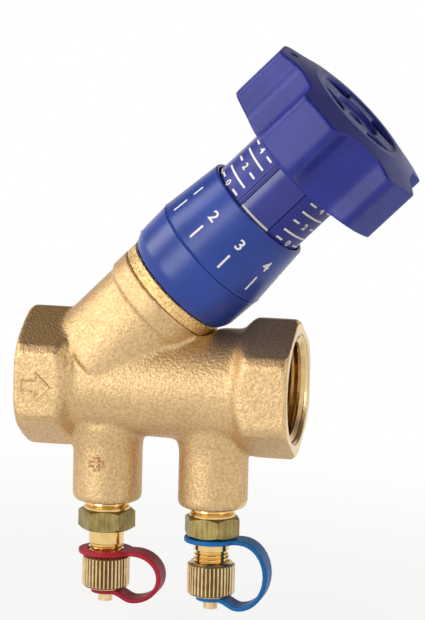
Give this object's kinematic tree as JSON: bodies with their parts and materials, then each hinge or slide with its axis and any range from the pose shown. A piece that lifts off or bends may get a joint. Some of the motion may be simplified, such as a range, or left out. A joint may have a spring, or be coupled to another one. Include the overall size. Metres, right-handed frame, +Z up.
{
  "type": "balancing valve",
  "caption": "Y-pattern brass balancing valve with a lobed blue handwheel, a rising window scale, two capped test points and threaded hexagon ends.",
  "frame": {"origin": "middle of the inlet end face, on the pipe axis", "axes": "+X along the pipe with the flow, +Z up, away from the test points, and -Y towards the viewer; the bonnet leans from the pipe axis towards +X and +Z at 45 degrees"},
  "size_m": [0.124, 0.0629, 0.1809],
  "materials": {
    "cast_brass": "sand-cast, sparkling",
    "turned_brass": "turned, bright",
    "olive_brass": "machined, dull",
    "deep_blue_plastic": "satin",
    "collar_blue_plastic": "semi-gloss",
    "red_plastic": "soft, satin",
    "cyan_plastic": "soft, satin",
    "black_rubber": "matt",
    "white_ptfe": "matt",
    "bright_steel": "plain"
  },
  "bodies": {
    "fixed_body": {"valve_body": "cast_brass", "bonnet": "turned_brass", "bonnet_o_ring": "black_rubber", "thrust_washer": "white_ptfe", "lower_collar": "collar_blue_plastic", "tenths_ring": "collar_blue_plastic", "upstream_test_point": "olive_brass", "upstream_port_gasket": "white_ptfe", "upstream_membrane": "black_rubber", "downstream_test_point": "olive_brass", "downstream_port_gasket": "white_ptfe", "downstream_membrane": "black_rubber"},
    "wheel_and_stem": {"handwheel": "deep_blue_plastic", "scale_sleeve": "deep_blue_plastic", "stem": "turned_brass", "stem_o_rings": "black_rubber", "stem_clip": "bright_steel", "wheel_snap_ring": "bright_steel"},
    "rising_indicator": {"indicator_ring": "deep_blue_plastic"},
    "closing_disc": {"disc_carrier": "turned_brass", "disc_seal": "black_rubber", "regulating_plug": "turned_brass"},
    "stop_screw": {"memory_stop": "bright_steel"},
    "upstream_loop": {"upstream_strap": "red_plastic"},
    "upstream_screw_cap": {"upstream_cap": "turned_brass", "upstream_cap_gasket": "black_rubber"},
    "downstream_loop": {"downstream_strap": "cyan_plastic"},
    "downstream_screw_cap": {"downstream_cap": "turned_brass", "downstream_cap_gasket": "black_rubber"}
  },
  "joints": [
    {"name": "wheel_turn", "type": "hinge", "parent": "fixed_body", "child": "wheel_and_stem", "pos_m": [0.0167, 0, 0], "axis": [0.7071, 0, 0.7071], "range_deg": [0, 1440]},
    {"name": "indicator_rise", "type": "slide", "parent": "wheel_and_stem", "child": "rising_indicator", "axis": [0.7071, 0, 0.7071], "range_m": [0, 0.0157]},
    {"name": "disc_lift", "type": "slide", "parent": "fixed_body", "child": "closing_disc", "axis": [0.7071, 0, 0.7071], "range_m": [0, 0.01]},
    {"name": "stop_screw_turn", "type": "hinge", "parent": "wheel_and_stem", "child": "stop_screw", "pos_m": [0.0167, 0, 0], "axis": [0.7071, 0, 0.7071], "range_deg": [0, 1440]},
    {"name": "upstream_loop_slide", "type": "slide", "parent": "fixed_body", "child": "upstream_loop", "axis": [0, 0, -1], "range_m": [0, 0.00525]},
    {"name": "upstream_cap_turn", "type": "hinge", "parent": "upstream_loop", "child": "upstream_screw_cap", "pos_m": [0.0263, 0, 0], "axis": [0, 0, -1], "range_deg": [0, 1260]},
    {"name": "downstream_loop_slide", "type": "slide", "parent": "fixed_body", "child": "downstream_loop", "axis": [0, 0, -1], "range_m": [0, 0.00525]},
    {"name": "downstream_cap_turn", "type": "hinge", "parent": "downstream_loop", "child": "downstream_screw_cap", "pos_m": [0.0611, 0, 0], "axis": [0, 0, -1], "range_deg": [0, 1260]}
  ],
  "couplings": [
    {"joint": "indicator_rise", "follows": "wheel_turn", "m_per_rad": 0.00062468},
    {"joint": "disc_lift", "follows": "wheel_turn", "m_per_rad": 0.00039788},
    {"joint": "upstream_loop_slide", "follows": "upstream_cap_turn", "m_per_rad": 0.00023873},
    {"joint": "downstream_loop_slide", "follows": "downstream_cap_turn", "m_per_rad": 0.00023873}
  ]
}
